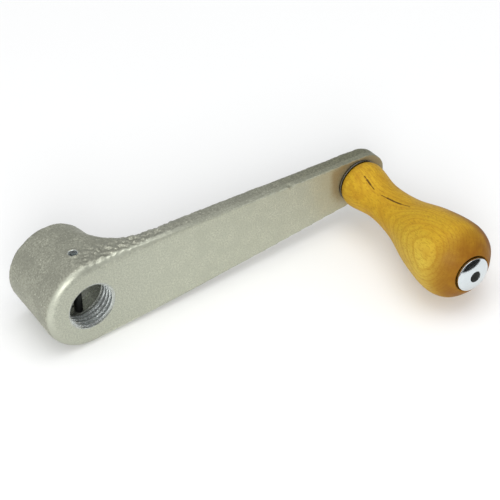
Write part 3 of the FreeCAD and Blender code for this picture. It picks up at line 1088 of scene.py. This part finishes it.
def softbox(name, place, target, size, power):
    """A square area light that faces a point."""
    light = bpy.data.lights.new(name, "AREA")
    light.size = size
    light.energy = power
    lamp = bpy.data.objects.new(name, light)
    bpy.context.scene.collection.objects.link(lamp)
    lamp.location = place
    lamp.rotation_euler = (Vector(place) - Vector(target)).to_track_quat("Z", "Y").to_euler()


class HANDCRANK_OT_stage(bpy.types.Operator):
    """Lay the floor, light it softly and place the camera"""

    bl_idname = "handcrank.stage"
    bl_label = "Stage"

    def execute(self, context):
        settings = context.scene.hand_crank.stage
        self.lay_floor(settings)
        self.light(settings)
        self.place_camera(settings)
        context.scene.view_settings.view_transform = "Standard"
        return {"FINISHED"}

    def lay_floor(self, settings):
        """A wide pale floor under the arm's lowest point."""
        n = Nodes("pale_floor")
        colour = n.mix(n.step(n.noise(0.25, 2.0), 0.3, 0.7), shade(settings.floor_colour, 0.985),
                       settings.floor_colour)
        floor = primitive("floor", bpy.ops.mesh.primitive_plane_add, size=6.0, location=(0.0, 0.0, ARM_LOW.z))
        floor.data.materials.append(n.surface(Base_Color=colour, Roughness=0.7))

    def light(self, settings):
        """A sky that is brighter on the camera's side, and two soft lamps."""
        world = bpy.data.worlds.new("studio")
        world.use_nodes = True
        nodes, links = world.node_tree.nodes, world.node_tree.links
        sky = nodes["Background"]
        sky.inputs["Color"].default_value = (0.97, 0.98, 1.0, 1.0)
        towards = nodes.new("ShaderNodeVectorMath")
        towards.operation = "DOT_PRODUCT"
        towards.inputs[1].default_value = Vector((-0.45, -0.80, 0.40)).normalized()
        links.new(nodes.new("ShaderNodeTexCoord").outputs["Generated"], towards.inputs[0])
        fall = nodes.new("ShaderNodeMapRange")
        for name, value in {"From Min": -1.0, "From Max": 1.0, "To Min": 0.45, "To Max": 0.95}.items():
            fall.inputs[name].default_value = value
        links.new(towards.outputs["Value"], fall.inputs["Value"])
        links.new(fall.outputs["Result"], sky.inputs["Strength"])
        bpy.context.scene.world = world
        aim = settings.camera_aim
        softbox("key", (-0.75, -1.25, 0.80), aim, 0.7, 16.0)
        softbox("overhead", (0.1, -0.2, 1.6), aim, 1.2, 8.0)
        self.dark_card()

    def dark_card(self):
        """A black card in front of the bolt's head that only reflections see."""
        card = primitive("dark_card", bpy.ops.mesh.primitive_plane_add, size=1.0,
                         location=(0.20, -0.190, 0.045), rotation=(TAU / 4.0, 0.0, 0.0),
                         scale=(0.42, 0.135, 1.0))
        n = Nodes("black_card")
        card.data.materials.append(n.surface(Base_Color=(0.004, 0.004, 0.004, 1.0), Roughness=0.9))
        card.visible_camera = card.visible_shadow = card.visible_diffuse = False

    def place_camera(self, settings):
        """Turns the camera round the point that it looks at, and rolls it."""
        turn, rise = settings.camera_azimuth, settings.camera_elevation
        back = Vector((math.sin(turn) * math.cos(rise), -math.cos(turn) * math.cos(rise), math.sin(rise)))
        lens = bpy.data.cameras.new("camera")
        lens.lens = settings.focal_length
        camera = bpy.data.objects.new("camera", lens)
        bpy.context.scene.collection.objects.link(camera)
        camera.location = Vector(settings.camera_aim) + back * settings.camera_distance
        roll = Quaternion((0.0, 0.0, 1.0), settings.camera_roll)
        camera.rotation_euler = (back.to_track_quat("Z", "Y") @ roll).to_euler()
        bpy.context.scene.camera = camera


# ---------------------------------------------------------------- panel and registration

class HANDCRANK_PT_panel(bpy.types.Panel):
    """Settings and build buttons of the hand crank"""

    bl_idname = "HANDCRANK_PT_panel"
    bl_label = "Hand Crank"
    bl_space_type = "VIEW_3D"
    bl_region_type = "UI"
    bl_category = "Hand Crank"

    def draw(self, context):
        settings = context.scene.hand_crank
        for group, operators in (
            (settings.casting, (HANDCRANK_OT_cast_arm,)),
            (settings.grip, (HANDCRANK_OT_grip,)),
            (settings.fittings, (HANDCRANK_OT_bolt, HANDCRANK_OT_cross_pin, HANDCRANK_OT_washers_and_nut)),
            (settings.stage, (HANDCRANK_OT_stage,)),
        ):
            box = self.layout.box()
            for name in group.__annotations__:
                box.prop(group, name)
            for operator in operators:
                box.operator(operator.bl_idname)


OPERATORS = (
    HANDCRANK_OT_cast_arm,
    HANDCRANK_OT_grip,
    HANDCRANK_OT_bolt,
    HANDCRANK_OT_cross_pin,
    HANDCRANK_OT_washers_and_nut,
    HANDCRANK_OT_stage,
)
CLASSES = (CastingSettings, GripSettings, FittingSettings, StageSettings, CrankSettings) + OPERATORS + (
    HANDCRANK_PT_panel,)


def register():
    for cls in CLASSES:
        bpy.utils.register_class(cls)
    bpy.types.Scene.hand_crank = bpy.props.PointerProperty(type=CrankSettings)


def unregister():
    del bpy.types.Scene.hand_crank
    for cls in reversed(CLASSES):
        bpy.utils.unregister_class(cls)


def main():
    """Builds every piece and the stage."""
    register()
    for operator in OPERATORS:
        group, name = operator.bl_idname.split(".")
        getattr(getattr(bpy.ops, group), name)()


if __name__ == "__main__":
    main()
